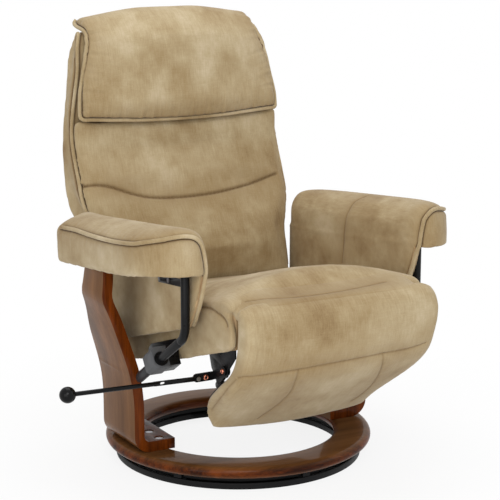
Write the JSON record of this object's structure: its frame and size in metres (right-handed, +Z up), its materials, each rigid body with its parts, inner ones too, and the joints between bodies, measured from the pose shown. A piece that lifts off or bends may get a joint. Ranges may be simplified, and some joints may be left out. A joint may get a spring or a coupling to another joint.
{
  "type": "swivel recliner chair with integrated footrest",
  "caption": "Padded swivel recliner: gliding seat, reclining back, tilting headrest and a lever-worked footrest on a round wooden ring base.",
  "frame": {"origin": "centre of the ring base, on the floor", "axes": "+Z up; the sitter looks along -Y; the sitter's right hand, with the lever, is on -X"},
  "size_m": [0.9951, 0.9277, 1.0511],
  "materials": {
    "wood_lacquered": "stained walnut tone under gloss lacquer",
    "plywood": "bare birch plywood",
    "black_steel": "black semi-gloss powder coat",
    "zinc_steel": "zinc plated",
    "suede_cloth": "tan faux suede with soft nap",
    "black_cloth": "thin black non-woven",
    "grey_plastic": "moulded nylon",
    "black_plastic": "moulded",
    "black_gloss": "polished phenolic ball"
  },
  "bodies": {
    "floor_base": {"floor_ring": "black_steel", "ring_pads": "grey_plastic"},
    "pedestal": {"turn_ring": "black_steel", "base_ring": "wood_lacquered", "leg_right": "wood_lacquered", "leg_left": "wood_lacquered", "leg_bolts": "zinc_steel", "arm_tube_right": "black_steel", "arm_tube_left": "black_steel", "rail_sleeve_right": "grey_plastic", "rail_sleeve_left": "grey_plastic", "tube_bracket_right": "black_steel", "tube_bracket_left": "black_steel", "arm_frame_right": "plywood", "arm_frame_left": "plywood", "arm_panel_right": "suede_cloth", "arm_panel_left": "suede_cloth", "arm_pad_right": "suede_cloth", "arm_pad_left": "suede_cloth", "arm_screws": "zinc_steel"},
    "seat": {"seat_frame": "plywood", "seat_springs": "zinc_steel", "seat_cushion": "suede_cloth", "seat_side_right": "suede_cloth", "seat_side_left": "suede_cloth", "dust_cover": "black_cloth", "glide_block_right": "grey_plastic", "glide_block_left": "grey_plastic", "glide_bush_right": "black_plastic", "glide_bush_left": "black_plastic", "glide_bracket_right": "black_steel", "glide_bracket_left": "black_steel", "side_plate_right": "black_steel", "side_plate_left": "black_steel", "hinge_arms": "black_steel", "hinge_pins": "zinc_steel"},
    "back": {"back_panel": "plywood", "back_cushion": "suede_cloth", "back_shell": "suede_cloth", "back_hinges": "black_steel", "headrest_ears": "black_steel"},
    "headrest": {"headrest_pad": "suede_cloth", "headrest_plate": "plywood", "headrest_hinge": "black_steel"},
    "footrest": {"footrest_board": "plywood", "footrest_pad": "suede_cloth", "footrest_brackets": "black_steel", "footrest_pins": "zinc_steel"},
    "shaft": {"lever_shaft": "black_steel", "shaft_cranks": "black_steel", "lever_crank": "black_steel", "lever_pin": "zinc_steel"},
    "lever": {"lever_rod": "black_steel", "lever_ball": "black_gloss"},
    "link_right": {"drive_link_right": "black_steel"},
    "link_left": {"drive_link_left": "black_steel"}
  },
  "joints": [
    {"name": "swivel", "type": "hinge", "parent": "floor_base", "child": "pedestal", "pos_m": [0, 0, 0], "axis": [0, 0, 1], "continuous": true},
    {"name": "seat_glide", "type": "slide", "parent": "pedestal", "child": "seat", "axis": [0, -0.8387, 0.5446], "range_m": [0, 0.06]},
    {"name": "back_recline", "type": "hinge", "parent": "seat", "child": "back", "pos_m": [0, 0.158, 0.318], "axis": [-1, 0, 0], "range_deg": [0, 25]},
    {"name": "headrest_tilt", "type": "hinge", "parent": "back", "child": "headrest", "pos_m": [0, 0.327, 0.796], "axis": [1, 0, 0], "range_deg": [0, 25]},
    {"name": "footrest_fold", "type": "hinge", "parent": "seat", "child": "footrest", "pos_m": [0, -0.426, 0.477], "axis": [-1, 0, 0], "range_deg": [0, 100]},
    {"name": "lever_turn", "type": "hinge", "parent": "seat", "child": "shaft", "pos_m": [0, -0.323, 0.308], "axis": [-1, 0, 0], "range_deg": [0, 100]},
    {"name": "lever_fold", "type": "hinge", "parent": "shaft", "child": "lever", "pos_m": [-0.258, -0.2805, 0.286], "axis": [0, 1, 0], "range_deg": [0, 30]},
    {"name": "link_right_turn", "type": "hinge", "parent": "footrest", "child": "link_right", "pos_m": [0, -0.38075, 0.43174], "axis": [-1, 0, 0], "range_deg": [-100, 0]},
    {"name": "link_left_turn", "type": "hinge", "parent": "footrest", "child": "link_left", "pos_m": [0, -0.38075, 0.43174], "axis": [-1, 0, 0], "range_deg": [-100, 0]}
  ],
  "couplings": [
    {"joint": "back_recline", "follows": "seat_glide", "rad_per_m": 7.2722},
    {"joint": "lever_turn", "follows": "footrest_fold", "ratio": 1},
    {"joint": "link_right_turn", "follows": "footrest_fold", "ratio": -1},
    {"joint": "link_left_turn", "follows": "footrest_fold", "ratio": -1}
  ]
}
